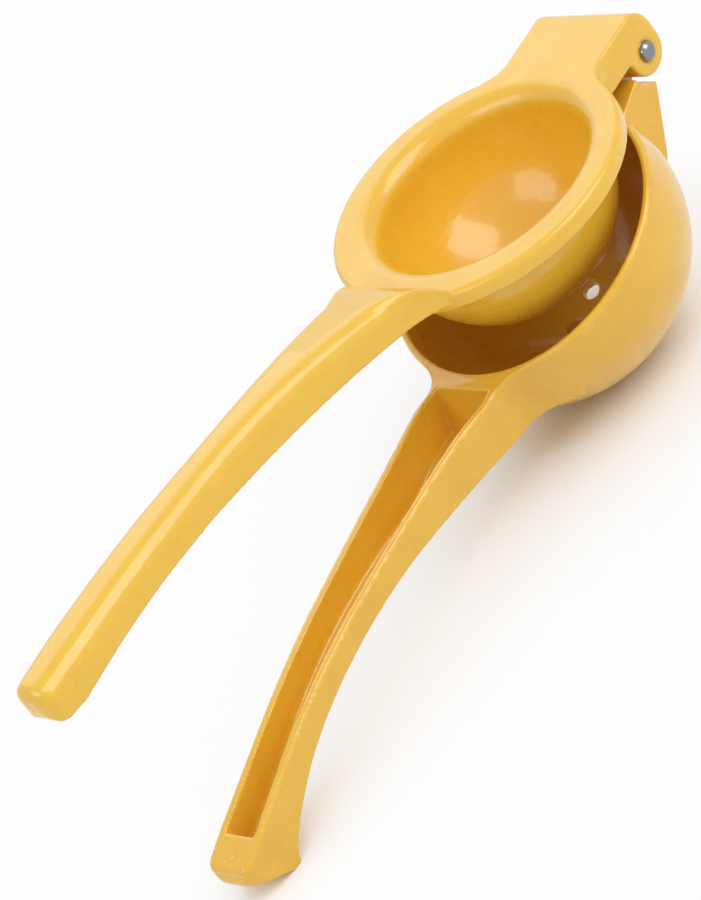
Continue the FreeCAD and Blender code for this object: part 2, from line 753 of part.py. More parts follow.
def make_strainer_arm(doc):
    """The strainer arm: bowl with drain holes, hinge lug with its knuckle, and trough handle."""
    bowl = doc.addObject("PartDesign::Body", "bowl_form")
    section = new_sketch(bowl, "bowl_section", "XZ_Plane", "dims.bowl_shift")
    draw_bowl_half(section)
    turn(bowl, section, "bowl_turned")
    flanks = arm_form(doc, "strainer_handle_form", draw_strainer_body_side,
                      draw_strainer_body_plan, "70")
    lip = arm_form(doc, "strainer_lip_form", draw_strainer_lip_side, draw_strainer_lip_plan, "70")
    lug = doc.addObject("PartDesign::Body", "lug_form")
    side = new_sketch(lug, "lug_side", "XZ_Plane")
    draw_lug_side(side)
    pad(lug, side, "dims.block_width", "lug_pad")
    web = doc.addObject("PartDesign::Body", "knuckle_web_form")
    side = new_sketch(web, "knuckle_web_side", "XZ_Plane")
    draw_knuckle_web_side(side)
    pad(web, side, "dims.knuckle_width", "knuckle_web_pad")
    knuckle = cylinder_on_hinge(doc, "knuckle", "dims.knuckle_radius", "dims.knuckle_width",
                                "dims.strainer_hinge_drop")
    solid = join(doc, "strainer_solid", [bowl, flanks, lip, lug, web, knuckle])
    hollow = doc.addObject("PartDesign::Body", "bowl_hollow")
    section = new_sketch(hollow, "bowl_hollow_section", "XZ_Plane", "dims.bowl_shift")
    draw_bowl_hollow_half(section)
    turn(hollow, section, "bowl_hollow_turned")
    trough = arm_form(doc, "trough", draw_strainer_channel_side, draw_strainer_channel_plan, "60")
    notch = doc.addObject("PartDesign::Body", "rim_notch")
    side = new_sketch(notch, "notch_side", "XZ_Plane")
    draw_notch_side(side)
    pad(notch, side, "dims.notch_width", "notch_pad")
    bore = cylinder_on_hinge(doc, "knuckle_bore", "dims.pin_radius + dims.pin_clearance",
                             "dims.knuckle_width + 4", "dims.strainer_hinge_drop")
    doc.recompute()
    notched = cut(doc, "strainer_notched", solid, notch)
    hollowed = cut(doc, "strainer_hollowed", notched, hollow)
    troughed = cut(doc, "strainer_troughed", hollowed, trough)
    bored = cut(doc, "strainer_bored", troughed, bore)
    arm = doc.addObject("PartDesign::Body", STRAINER)
    arm.BaseFeature = bored
    doc.recompute()
    make_drains(doc, arm)
    return arm


# Pin

def draw_pin_half(sketch):
    """Half section of the pin along its length: a shank with a domed head at each end."""
    half = "dims.block_width / 2 - dims.ear_dish_depth"
    top = "dims.block_width / 2 - dims.ear_dish_depth + dims.pin_head_dome"
    ball = "(dims.pin_head_radius ^ 2 + dims.pin_head_dome ^ 2) / (2 * dims.pin_head_dome)"
    path = Outline(sketch, "0", f"-({top})")
    path.bow("dims.pin_head_radius", f"-({half})", ball, LEFT)
    path.line("dims.pin_radius", f"-({half})")
    path.line("dims.pin_radius", half)
    path.line("dims.pin_head_radius", half)
    path.bow("0", top, ball, LEFT)
    path.close()


def make_pin(doc):
    """The hinge pin, upset into a domed head at both ends."""
    pin = doc.addObject("PartDesign::Body", PIN)
    section = new_sketch(pin, "pin_section", "XY_Plane")
    draw_pin_half(section)
    turn(pin, section, "pin_turned")
    return pin


def set_on_hinge(piece, tilt, drop):
    """Sets a piece with its hinge point on the hinge axis, tilted handle down."""
    piece.Placement.Rotation = FreeCAD.Rotation(FreeCAD.Vector(0, 1, 0), 1)
    piece.setExpression("Placement.Rotation.Angle", tilt)
    along = f"cos({tilt} * 1deg)"
    down = f"sin({tilt} * 1deg)"
    back = f"dims.hinge_place_x - dims.hinge_back * {along} - {drop} * {down}"
    height = f"dims.hinge_place_z + dims.hinge_back * {down} - {drop} * {along}"
    piece.setExpression("Placement.Base.x", back)
    piece.setExpression("Placement.Base.z", height)


def check_model(doc, pieces):
    """Stops the build where a feature failed or a piece isn't one sound solid."""
    for item in doc.Objects:
        if "Invalid" in item.State or "Error" in item.State:
            raise RuntimeError(f"{item.Name} failed")
    for piece in pieces:
        shape = piece.Shape
        if shape.isNull() or not shape.isValid() or len(shape.Solids) != 1:
            raise RuntimeError(f"{piece.Name} isn't one sound solid")


def main():
    """Builds the three pieces, sets them about the hinge and writes them."""
    doc = FreeCAD.newDocument("lemon_squeezer")
    make_sheet(doc)
    pieces = {PRESS: make_press_arm(doc), STRAINER: make_strainer_arm(doc), PIN: make_pin(doc)}
    set_on_hinge(pieces[PRESS], "dims.press_tilt", "dims.press_hinge_drop")
    set_on_hinge(pieces[STRAINER], "dims.strainer_tilt", "dims.strainer_hinge_drop")
    pieces[PIN].setExpression("Placement.Base.x", "dims.hinge_place_x")
    pieces[PIN].setExpression("Placement.Base.z", "dims.hinge_place_z")
    doc.recompute()
    check_model(doc, pieces.values())
    os.makedirs("parts", exist_ok=True)
    for name, piece in pieces.items():
        piece.Label = name
        piece.Shape.exportStep(f"parts/{name}.step")


if __name__ == "__main__":
    main()
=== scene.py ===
"""Hinged lemon squeezer: the finishes, the softened castings and the studio.

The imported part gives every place. The two arms are carried over as castings whose edges are
softened as a coat of baked enamel softens them. The pin keeps its own solid and gets the full
domes of its upset heads.
"""

import json
import logging
import math
from dataclasses import dataclass
from enum import Enum, IntEnum

import bpy
import numpy as np
from mathutils import Matrix, Vector

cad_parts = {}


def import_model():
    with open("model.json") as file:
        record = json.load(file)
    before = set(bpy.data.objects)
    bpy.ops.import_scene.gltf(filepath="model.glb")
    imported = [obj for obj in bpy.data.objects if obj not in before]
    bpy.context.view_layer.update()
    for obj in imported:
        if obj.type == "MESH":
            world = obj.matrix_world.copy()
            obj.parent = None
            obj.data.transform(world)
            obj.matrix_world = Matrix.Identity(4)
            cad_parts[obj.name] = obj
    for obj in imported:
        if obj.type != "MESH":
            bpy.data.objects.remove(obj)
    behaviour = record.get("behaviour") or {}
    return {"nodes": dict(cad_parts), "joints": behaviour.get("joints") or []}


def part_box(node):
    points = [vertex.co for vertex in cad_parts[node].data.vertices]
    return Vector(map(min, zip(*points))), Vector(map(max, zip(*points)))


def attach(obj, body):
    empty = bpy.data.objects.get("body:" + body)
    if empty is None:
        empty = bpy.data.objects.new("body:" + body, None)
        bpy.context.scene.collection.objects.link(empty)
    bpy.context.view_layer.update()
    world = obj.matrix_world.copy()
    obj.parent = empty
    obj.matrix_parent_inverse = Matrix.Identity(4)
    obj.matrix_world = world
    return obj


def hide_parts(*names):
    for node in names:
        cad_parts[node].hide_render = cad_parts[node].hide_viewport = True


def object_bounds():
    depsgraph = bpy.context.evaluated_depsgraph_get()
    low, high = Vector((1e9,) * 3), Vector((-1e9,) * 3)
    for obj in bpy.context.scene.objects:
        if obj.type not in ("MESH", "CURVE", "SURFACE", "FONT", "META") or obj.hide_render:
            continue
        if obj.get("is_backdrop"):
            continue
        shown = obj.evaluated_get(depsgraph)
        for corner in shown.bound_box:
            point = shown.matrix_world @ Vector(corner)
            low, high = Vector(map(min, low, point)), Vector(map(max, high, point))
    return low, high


LOG = logging.getLogger("lemon_squeezer")
MM = 0.001
WHITE = (1.0, 1.0, 1.0, 1.0)
DOWN = Vector((0, 0, -1))
WELL_CLEAR = 1.0  # metres, from where a ray is sent at the squeezer
SMALLEST = 1e-9  # keeps a divisor above nothing


class Body(Enum):
    """The two bodies that the hinge joins."""

    STRAINER = "strainer"
    PRESS = "press"


class Slot(Enum):
    """The record's material slots."""

    STRAINER = "strainer_enamel"
    PRESS = "press_enamel"
    PIN = "pin_steel"


class ColourMix(IntEnum):
    """The numbers of a colour mix node's sockets."""

    SHARE = 0
    FIRST = 6
    SECOND = 7
    RESULT = 2


# Meshes


def select_nothing() -> None:
    """Deselects every object."""
    for other in bpy.context.selected_objects:
        other.select_set(False)


def select_only(piece: bpy.types.Object) -> None:
    """Makes a piece the active one and the only one selected.

    Args:
        piece: the piece.
    """
    select_nothing()
    bpy.context.view_layer.objects.active = piece
    piece.select_set(True)


def merged_copy(node: bpy.types.Object, name: str) -> bpy.types.Object:
    """Copies a CAD node as a new piece whose loose triangles are joined.

    Args:
        node: the CAD node, which stays as it is.
        name: the new piece's name.

    Returns:
        The new piece.
    """
    piece = bpy.data.objects.new(name, node.data.copy())
    piece.data.name = name
    piece.data.materials.clear()
    bpy.context.scene.collection.objects.link(piece)
    select_only(piece)
    bpy.ops.object.mode_set(mode="EDIT")
    bpy.ops.mesh.select_all(action="SELECT")
    bpy.ops.mesh.customdata_custom_splitnormals_clear()
    bpy.ops.mesh.remove_doubles(threshold=0.002 * MM)
    bpy.ops.object.mode_set(mode="OBJECT")
    return piece


def apply_modifier(piece: bpy.types.Object, kind: str, **settings: object) -> None:
    """Adds a modifier with its settings and applies it at once.

    Args:
        piece: the piece that takes the modifier.
        kind: the modifier's type name.
        **settings: the modifier's own options.
    """
    modifier = piece.modifiers.new(kind.lower(), kind)
    for name, value in settings.items():
        setattr(modifier, name, value)
    select_only(piece)
    bpy.ops.object.modifier_apply(modifier=modifier.name)


def read_points(piece: bpy.types.Object) -> np.ndarray:
    """Reads the vertices of a piece.

    Args:
        piece: the piece.

    Returns:
        The vertices as rows, in metres.
    """
    points = np.empty(len(piece.data.vertices) * 3)
    piece.data.vertices.foreach_get("co", points)
    return points.reshape(-1, 3)


def write_points(piece: bpy.types.Object, points: np.ndarray) -> None:
    """Puts the vertices of a piece at the rows of an array."""
    piece.data.vertices.foreach_set("co", points.reshape(-1))
    piece.data.update()


def dress(piece: bpy.types.Object, material: bpy.types.Material) -> None:
    """Gives every face of a piece one material."""
    piece.data.materials.clear()
    piece.data.materials.append(material)


def ease(value: np.ndarray, start: float, end: float) -> np.ndarray:
    """Returns 0 before start, 1 after end, and a smooth climb between them."""
    share = np.clip((value - start) / (end - start), 0, 1)
    return share * share * (3 - 2 * share)


def rounded(side: np.ndarray, drop: np.ndarray, radius: np.ndarray) -> np.ndarray:
    """Says how far points near a square edge move to lie on its round.

    Args:
        side: distances from one face of the edge.
        drop: distances from its other face.
        radius: the round's radius at each point.

    Returns:
        The moves away from the first face and from the second.
    """
    corner = np.stack([np.clip(radius - gap, 0, radius) for gap in (side, drop)])
    reach = np.maximum(np.hypot(corner[0], corner[1]), SMALLEST)
    return corner * (1 - corner.max(axis=0) / reach)


def middle(low: Vector, high: Vector) -> Vector:
    """Returns the middle of a box, on the plane that halves the squeezer."""
    return Vector(((low.x + high.x) / 2, 0, (low.z + high.z) / 2))


# Node trees


def linear(hex_code: str) -> tuple[float, float, float, float]:
    """Turns an sRGB hex value into the linear colour that a shader takes.

    Args:
        hex_code: six hex digits, such as "F0B040".

    Returns:
        The linear red, green and blue, and full opacity.
    """
    channels = []
    for start in (0, 2, 4):
        value = int(hex_code[start : start + 2], 16) / 255
        channels.append(value / 12.92 if value <= 0.04045 else ((value + 0.055) / 1.055) ** 2.4)
    return (*channels, 1.0)


def per_metre(size_mm: float) -> float:
    """Returns the texture scale whose pattern repeats about every size_mm millimetres."""
    return 1 / (size_mm * MM)


def empty_tree(owner: bpy.types.Material | bpy.types.World) -> bpy.types.NodeTree:
    """Empties the node tree of a material or a world.

    Args:
        owner: the material or world.

    Returns:
        Its node tree, with no nodes.
    """
    owner.use_nodes = True
    owner.node_tree.nodes.clear()
    return owner.node_tree


def add_node(
    tree: bpy.types.NodeTree,
    kind: str,
    settings: dict[str, object] | None = None,
    values: dict[str | int, object] | None = None,
    links: dict[str | int, bpy.types.NodeSocket] | None = None,
) -> bpy.types.Node:
    """Adds one node with its settings, its socket values and its links.

    Args:
        tree: the node tree.
        kind: the node's type name.
        settings: the node's own options.
        values: unlinked inputs by name or number.
        links: linked inputs by name or number, each with the output that feeds it.

    Returns:
        The new node.
    """
    node = tree.nodes.new(kind)
    for name, value in (settings or {}).items():
        setattr(node, name, value)
    for name, value in (values or {}).items():
        node.inputs[name].default_value = value
    for name, source in (links or {}).items():
        tree.links.new(source, node.inputs[name])
    return node


def add_noise(
    tree: bpy.types.NodeTree,
    place: bpy.types.NodeSocket,
    size_mm: float,
    detail: float,
    roughness: float,
) -> bpy.types.NodeSocket:
    """Adds a cloudy pattern.

    Args:
        tree: the node tree.
        place: where the pattern is read.
        size_mm: how wide its patches are, about.
        detail: how many finer layers it has.
        roughness: how strong the finer layers are.

    Returns:
        The pattern's strength.
    """
    return add_node(
        tree,
        "ShaderNodeTexNoise",
        values={"Scale": per_metre(size_mm), "Detail": detail, "Roughness": roughness},
        links={"Vector": place},
    ).outputs["Fac"]


def add_range(
    tree: bpy.types.NodeTree,
    source: bpy.types.NodeSocket,
    span: tuple[float, float],
    result: tuple[float, float],
) -> bpy.types.NodeSocket:
    """Stretches one span of values over another and holds them at its ends.

    Args:
        tree: the node tree.
        source: the value that is stretched.
        span: the lowest and highest value that count.
        result: what they turn into.

    Returns:
        The stretched value.
    """
    return add_node(
        tree,
        "ShaderNodeMapRange",
        values={
            "From Min": span[0],
            "From Max": span[1],
            "To Min": result[0],
            "To Max": result[1],
        },
        links={"Value": source},
    ).outputs["Result"]


def add_bump(
    tree: bpy.types.NodeTree,
    relief: bpy.types.NodeSocket,
    height_mm: float,
    under: bpy.types.NodeSocket | None = None,
) -> bpy.types.NodeSocket:
    """Raises a relief on a surface.

    Args:
        tree: the node tree.
        relief: the relief's strength.
        height_mm: how high it stands where it is strongest.
        under: the normal of a relief that it lies on, if any.

    Returns:
        The bumped normal.
    """
    links = {"Height": relief}
    if under is not None:
        links["Normal"] = under
    return add_node(
        tree,
        "ShaderNodeBump",
        values={"Strength": 1.0, "Distance": height_mm * MM},
        links=links,
    ).outputs["Normal"]


def add_maximum(
    tree: bpy.types.NodeTree,
    first: bpy.types.NodeSocket,
    second: bpy.types.NodeSocket,
) -> bpy.types.NodeSocket:
    """Takes the larger of two values.

    Args:
        tree: the node tree.
        first: the first value.
        second: the second value.

    Returns:
        The larger one.
    """
    return add_node(
        tree, "ShaderNodeMath", {"operation": "MAXIMUM"}, links={0: first, 1: second}
    ).outputs["Value"]


def seen_directly(tree: bpy.types.NodeTree) -> bpy.types.NodeSocket:
    """Tells what is looked at from what only lights something.

    Args:
        tree: the node tree.

    Returns:
        An output that is 1 for the camera and in reflections, and 0 for other light.
    """
    path = add_node(tree, "ShaderNodeLightPath").outputs
    mirrored = add_maximum(tree, path["Is Glossy Ray"], path["Is Transmission Ray"])
    return add_maximum(tree, path["Is Camera Ray"], mirrored)


# Finishes


@dataclass(frozen=True)
class BakedEnamel:
    """Glossy powder enamel baked on cast aluminium.

    The film is some 0.1 mm thick. It flows in the oven, so edges are soft, the gloss is wavy with a
    faint orange peel, and the colour is deeper where the film pools and lighter where it thins.
    """

    name: str
    colour: str
    deep_colour: str
    thin_colour: str
    shift_mm: tuple[float, float, float] = (0.0, 0.0, 0.0)
    mottle_mm: float = 11.0
    pooled_span: tuple[float, float] = (0.35, 0.7)
    pooled_share: float = 0.34
    edge_span: tuple[float, float] = (0.53, 0.64)
    edge_share: float = 0.42
    speckle_mm: float = 0.9
    noise_span: tuple[float, float] = (0.3, 0.7)
    speckle_value: tuple[float, float] = (0.965, 1.02)
    roughness: tuple[float, float] = (0.22, 0.31)
    wave_mm: float = 5.0
    wave_height_mm: float = 0.045
    peel_mm: float = 1.3
    peel_height_mm: float = 0.006
    coat: float = 0.45
    coat_roughness: float = 0.06
    coat_ior: float = 1.5

    def make(self) -> bpy.types.Material:
        """Builds the node material.

        Returns:
            The material.
        """
        material = bpy.data.materials.new(self.name)
        tree = empty_tree(material)
        place = add_node(
            tree,
            "ShaderNodeMapping",
            values={"Location": tuple(value * MM for value in self.shift_mm)},
            links={"Vector": add_node(tree, "ShaderNodeTexCoord").outputs["Object"]},
        ).outputs["Vector"]
        mottle = add_noise(tree, place, self.mottle_mm, detail=3.0, roughness=0.55)
        gloss = add_range(tree, mottle, self.noise_span, self.roughness)
        normal = self.add_relief(tree, place)
        shader = add_node(
            tree,
            "ShaderNodeBsdfPrincipled",
            values={
                "Coat Weight": self.coat,
                "Coat Roughness": self.coat_roughness,
                "Coat IOR": self.coat_ior,
            },
            links={
                "Base Color": self.add_colour(tree, place, mottle),
                "Roughness": gloss,
                "Normal": normal,
                "Coat Normal": normal,
            },
        ).outputs["BSDF"]
        add_node(tree, "ShaderNodeOutputMaterial", links={"Surface": shader})
        return material

    def add_colour(
        self,
        tree: bpy.types.NodeTree,
        place: bpy.types.NodeSocket,
        mottle: bpy.types.NodeSocket,
    ) -> bpy.types.NodeSocket:
        """Colours the film: deeper where it pools, lighter on edges, with a fine speckle.

        Args:
            tree: the node tree.
            place: where patterns are read.
            mottle: where the film pools.

        Returns:
            The film's colour.
        """
        pooled = add_range(tree, mottle, self.pooled_span, (0.0, self.pooled_share))
        film = add_node(
            tree,
            "ShaderNodeMix",
            {"data_type": "RGBA"},
            {
                ColourMix.FIRST: linear(self.colour),
                ColourMix.SECOND: linear(self.deep_colour),
            },
            {ColourMix.SHARE: pooled},
        ).outputs[ColourMix.RESULT]
        edge = add_node(tree, "ShaderNodeNewGeometry").outputs["Pointiness"]
        thinned = add_range(tree, edge, self.edge_span, (0.0, self.edge_share))
        film = add_node(
            tree,
            "ShaderNodeMix",
            {"data_type": "RGBA"},
            {ColourMix.SECOND: linear(self.thin_colour)},
            {ColourMix.SHARE: thinned, ColourMix.FIRST: film},
        ).outputs[ColourMix.RESULT]
        speckle = add_noise(tree, place, self.speckle_mm, detail=2.0, roughness=0.6)
        value = add_range(tree, speckle, self.noise_span, self.speckle_value)
        return add_node(
            tree, "ShaderNodeHueSaturation", links={"Value": value, "Color": film}
        ).outputs["Color"]

    def add_relief(
        self, tree: bpy.types.NodeTree, place: bpy.types.NodeSocket
    ) -> bpy.types.NodeSocket:
        """Makes the surface flow in slow waves with a fine orange peel on them.

        Args:
            tree: the node tree.
            place: where patterns are read.

        Returns:
            The film's normal.
        """
        normal = None
        for size_mm, height_mm in (
            (self.wave_mm, self.wave_height_mm),
            (self.peel_mm, self.peel_height_mm),
        ):
            relief = add_noise(tree, place, size_mm, detail=1.0, roughness=0.4)
            normal = add_bump(tree, relief, height_mm, normal)
        return normal


@dataclass(frozen=True)
class UpsetStainless:
    """Stainless steel wire, upset into a head and tumbled bright.

    The head mirrors the studio, with fine scuffs from the tumbling that break the mirror up.
    """

    name: str
    colour: str = "8E8E94"
    scuff_mm: float = 0.35
    scuff_height_mm: float = 0.004
    scuff_span: tuple[float, float] = (0.3, 0.7)
    roughness: tuple[float, float] = (0.07, 0.22)

    def make(self) -> bpy.types.Material:
        """Builds the node material.

        Returns:
            The material.
        """
        material = bpy.data.materials.new(self.name)
        tree = empty_tree(material)
        place = add_node(tree, "ShaderNodeTexCoord").outputs["Object"]
        scuff = add_noise(tree, place, self.scuff_mm, detail=3.0, roughness=0.6)
        shader = add_node(
            tree,
            "ShaderNodeBsdfPrincipled",
            values={"Base Color": linear(self.colour), "Metallic": 1.0},
            links={
                "Roughness": add_range(tree, scuff, self.scuff_span, self.roughness),
                "Normal": add_bump(tree, scuff, self.scuff_height_mm),
            },
        ).outputs["BSDF"]
        add_node(tree, "ShaderNodeOutputMaterial", links={"Surface": shader})
        return material


# Castings and pin


@dataclass
class Casting:
    """A casting under enamel: one even skin that lies on its solid, with small rounds on edges."""

    node: bpy.types.Object
    enamel: bpy.types.Material
    skin_mm: float = 0.36
    first_relaxing: int = 4
    last_relaxing: int = 5
    kept_share: float = 0.33

    def start_skin(self, name: str) -> bpy.types.Object:
        """Copies the solid and gives the copy one skin of small, even faces.

        Args:
            name: the casting's name.

        Returns:
            The casting.
        """
        casting = merged_copy(self.node, name)
        voxel = self.skin_mm * MM * 1
        apply_modifier(casting, "REMESH", mode="VOXEL", voxel_size=voxel, use_smooth_shade=True)
        apply_modifier(casting, "SMOOTH", factor=0.5, iterations=self.first_relaxing)
        apply_modifier(casting, "SHRINKWRAP", target=self.node, wrap_method="NEAREST_SURFACEPOINT")
        return casting

    def finish_skin(self, casting: bpy.types.Object) -> None:
        """Relaxes the skin, so that edges take a small round, thins it and enamels it.

        Args:
            casting: the casting.
        """
        apply_modifier(casting, "SMOOTH", factor=0.5, iterations=self.last_relaxing)
        apply_modifier(casting, "DECIMATE", ratio=self.kept_share)
        select_only(casting)
        bpy.ops.object.shade_smooth()
        dress(casting, self.enamel)
        LOG.info("%s has %d faces", casting.name, len(casting.data.polygons))


@dataclass
class ToeMark:
    """The small round dish that the ejector pin of the mould left on the strainer arm's toe."""

    node: bpy.types.Object
    enamel: bpy.types.Material
    place_mm: tuple[float, float] = (97.5, 0.4)
    radius_mm: float = 1.35
    height_mm: float = 0.14
    post_mm: float = 0.56
    ring_mm: float = 0.3
    dish_mm: float = 0.098
    bevel_mm: float = 0.042
    sides: int = 48
    facing: float = 0.9
    crease_deg: float = 50.0

    def build(self) -> None:
        """Turns the mark out of a short post and seats it square on the toe."""
        x, y = (value * MM for value in self.place_mm)
        _, foot, normal, _ = self.node.ray_cast(Vector((x, y, WELL_CLEAR)), DOWN)
        select_nothing()
        bpy.ops.mesh.primitive_cylinder_add(
            vertices=self.sides, radius=self.radius_mm * MM, depth=self.post_mm * MM
        )
        mark = bpy.context.active_object
        mark.name = mark.data.name = "toe_ejector_mark"
        bpy.ops.object.mode_set(mode="EDIT")
        bpy.ops.mesh.select_all(action="DESELECT")
        bpy.ops.object.mode_set(mode="OBJECT")
        for face in mark.data.polygons:
            face.select = face.normal.z > self.facing
        bpy.ops.object.mode_set(mode="EDIT")
        bpy.ops.mesh.inset(thickness=self.ring_mm * MM)
        bpy.ops.transform.translate(value=(0, 0, -self.dish_mm * MM))
        bpy.ops.object.mode_set(mode="OBJECT")
        apply_modifier(mark, "BEVEL", width=self.bevel_mm * MM, segments=2, limit_method="ANGLE")
        bpy.ops.object.shade_smooth_by_angle(angle=math.radians(self.crease_deg))
        turn = normal.to_track_quat("Z", "Y").to_matrix().to_4x4()
        mark.data.transform(Matrix.Translation(foot - normal * self.height_mm * MM) @ turn)
        dress(mark, self.enamel)
        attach(mark, Body.STRAINER.value)


@dataclass
class StrainerArm(Casting):
    """The lower arm: the pierced bowl, its lug for the hinge and its trough handle.

    The arm's own frame has z = 0 in the bowl's rim and X along the handle. The lines give, along X,
    the height of the trough's rim, the height of its floor and half its width.
    """

    hinge_mm: tuple[float, float, float] = (0.0, 0.0, 0.0)
    hinge_on_arm_mm: tuple[float, float, float] = (-49.1, 0.0, -5.1)
    tilt_deg: float = 17.0984
    rim_line_mm: tuple[tuple[float, float], ...] = (
        (47, 3.1),
        (64, 7.9),
        (80, 11.5),
        (95, 14.4),
        (120, 17.7),
        (149, 18.9),
    )
    floor_line_mm: tuple[tuple[float, float], ...] = (
        (45, -9.2),
        (73, 2.6),
        (85, 6.3),
        (97, 9.4),
        (109, 11.8),
        (121, 13.6),
        (150, 13.3),
    )
    half_line_mm: tuple[tuple[float, float], ...] = (
        (47, 9.6),
        (64, 8.15),
        (95, 7.0),
        (120, 5.8),
        (149, 6.0),
    )
    belly_mm: float = 2.2
    floor_drop_mm: float = 3.2
    underside_mm: float = 0.8
    level_share: float = 0.55
    start_mm: tuple[float, float] = (50.0, 68.0)
    end_mm: tuple[float, float] = (149.2, 150.4)
    belly_end_mm: tuple[float, float] = (116.0, 138.0)
    rim_fade_mm: tuple[float, float] = (0.5, 2.0)

    def build(self) -> None:
        """Makes the softened casting with its toe mark and puts them on their body."""
        ToeMark(self.node, self.enamel).build()
        casting = self.start_skin("strainer_casting")
        self.round_trough(casting)
        self.finish_skin(casting)
        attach(casting, Body.STRAINER.value)
        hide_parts(self.node.name)

    def turn(self) -> np.ndarray:
        """Works out the turn of the arm about the hinge pin.

        Returns:
            The turn as a matrix.
        """
        tilt = math.radians(self.tilt_deg)
        cos, sin = math.cos(tilt), math.sin(tilt)
        return np.array(((cos, 0, sin), (0, 1, 0), (-sin, 0, cos)))

    def on_arm(self, points: np.ndarray) -> np.ndarray:
        """Returns the points in the arm's own frame, in millimetres."""
        turned = (points / MM - np.array(self.hinge_mm)) @ self.turn()
        return turned + np.array(self.hinge_on_arm_mm)

    def in_place(self, points: np.ndarray) -> np.ndarray:
        """Returns points of the arm's own frame where they stand, in metres."""
        turned = (points - np.array(self.hinge_on_arm_mm)) @ self.turn().T
        return (turned + np.array(self.hinge_mm)) * MM

    def round_trough(self, casting: bpy.types.Object) -> None:
        """Lets the trough's floor and its underside hang in a round belly between the walls.

        Args:
            casting: the casting.
        """
        points = self.on_arm(read_points(casting))
        along, across, up = points.T
        rim, floor, half = (
            np.interp(along, *zip(*line))
            for line in (self.rim_line_mm, self.floor_line_mm, self.half_line_mm)
        )
        share = np.clip(np.abs(across) / half, 0, 1)
        under = up < floor - self.underside_mm
        sag = np.where(under, self.belly_mm, self.floor_drop_mm)
        sag *= 1 - ease(share, self.level_share, 1)
        sag *= ease(along, *self.start_mm) * (1 - ease(along, *self.end_mm))
        sag *= np.where(under, 1 - ease(along, *self.belly_end_mm), 1)
        sag *= ease(rim - up, *self.rim_fade_mm)
        points[:, 2] -= sag
        write_points(casting, self.in_place(points))


@dataclass
class PressArm(Casting):
    """The upper arm: the ring with its dome, the hinge block and the rounded grip."""

    block_above_pin_mm: float = 6.5
    block_reach_mm: tuple[float, float] = (-97.0, -103.0)
    block_fade_mm: float = 8.0
    block_pull_mm: float = 1.7
    grip_start_mm: float = -16.0
    grip_blend_mm: float = 9.0
    station_mm: float = 2.0
    last_gap_mm: float = 0.5
    flank_drop_mm: float = 4.0
    edge_radius_mm: float = 4.6
    end_radius_mm: float = 1.9
    end_centre_mm: float = 76.0
    end_fade: tuple[float, float] = (0.5, 2.5)

    def build(self) -> None:
        """Makes the softened casting and puts it on its body."""
        casting = self.start_skin("press_casting")
        self.reach_back(casting)
        self.round_grip(casting)
        self.round_end(casting)
        self.finish_skin(casting)
        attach(casting, Body.PRESS.value)
        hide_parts(self.node.name)

    def reach_back(self, casting: bpy.types.Object) -> None:
        """Draws the upper back edge of the hinge block out to its full length.

        Args:
            casting: the casting.
        """
        points = read_points(casting)
        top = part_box("hinge_pin")[1].z + self.block_above_pin_mm * MM
        start, end = (value * MM for value in self.block_reach_mm)
        pull = ease(-points[:, 0], -start, -end)
        pull *= 1 - ease(top - points[:, 2], 0, self.block_fade_mm * MM)
        points[:, 0] -= self.block_pull_mm * MM * pull
        write_points(casting, points)

    def measure_grip(self) -> tuple[np.ndarray, np.ndarray, np.ndarray]:
        """Feels along the grip for its top and its flank.

        Returns:
            The stations along X, the height of the top and the half width at each of them.
        """
        start = self.grip_start_mm * MM
        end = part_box(self.node.name)[1].x - self.last_gap_mm * MM
        stations = np.arange(start, end, self.station_mm * MM)
        tops = []
        halves = []
        for x in stations:
            _, top, _, _ = self.node.ray_cast(Vector((x, 0, WELL_CLEAR)), DOWN)
            beside = Vector((x, WELL_CLEAR, top.z - self.flank_drop_mm * MM))
            _, flank, _, _ = self.node.ray_cast(beside, Vector((0, -1, 0)))
            tops.append(top.z)
            halves.append(flank.y)
        return stations, np.array(tops), np.array(halves)

    def round_grip(self, casting: bpy.types.Object) -> None:
        """Rounds the grip's upper edges by moving the skin's points onto the arc.

        Args:
            casting: the casting.
        """
        stations, tops, halves = self.measure_grip()
        points = read_points(casting)
        along = points[:, 0]
        grip = along > stations[0]
        blend = np.clip((along - stations[0]) / (self.grip_blend_mm * MM), 0, 1)
        radius = np.maximum(self.edge_radius_mm * MM * blend, SMALLEST)
        side = np.interp(along, stations, halves) - np.abs(points[:, 1])
        drop = np.interp(along, stations, tops) - points[:, 2]
        inwards, downwards = rounded(side, drop, radius)
        points[:, 1] -= np.where(grip, np.sign(points[:, 1]) * inwards, 0)
        points[:, 2] -= np.where(grip, downwards, 0)
        write_points(casting, points)

    def round_end(self, casting: bpy.types.Object) -> None:
        """Rounds the edge between the grip's end face and its top and flanks.

        Args:
            casting: the casting.
        """
        points = read_points(casting)
        radius = self.end_radius_mm * MM
        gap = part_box(self.node.name)[1].x - points[:, 0]
        depth = np.clip(radius - gap, 0, radius)
        shrink = radius - np.sqrt(np.maximum(radius**2 - depth**2, 0))
        away = points[:, 1:] - np.array((0.0, self.end_centre_mm * MM))
        reach = np.maximum(np.linalg.norm(away, axis=1), SMALLEST)
        outer = ease(reach, *(share * radius for share in self.end_fade))
        pull = np.where(gap < radius, shrink * outer / reach, 0)
        points[:, 1:] -= pull[:, None] * away
        write_points(casting, points)


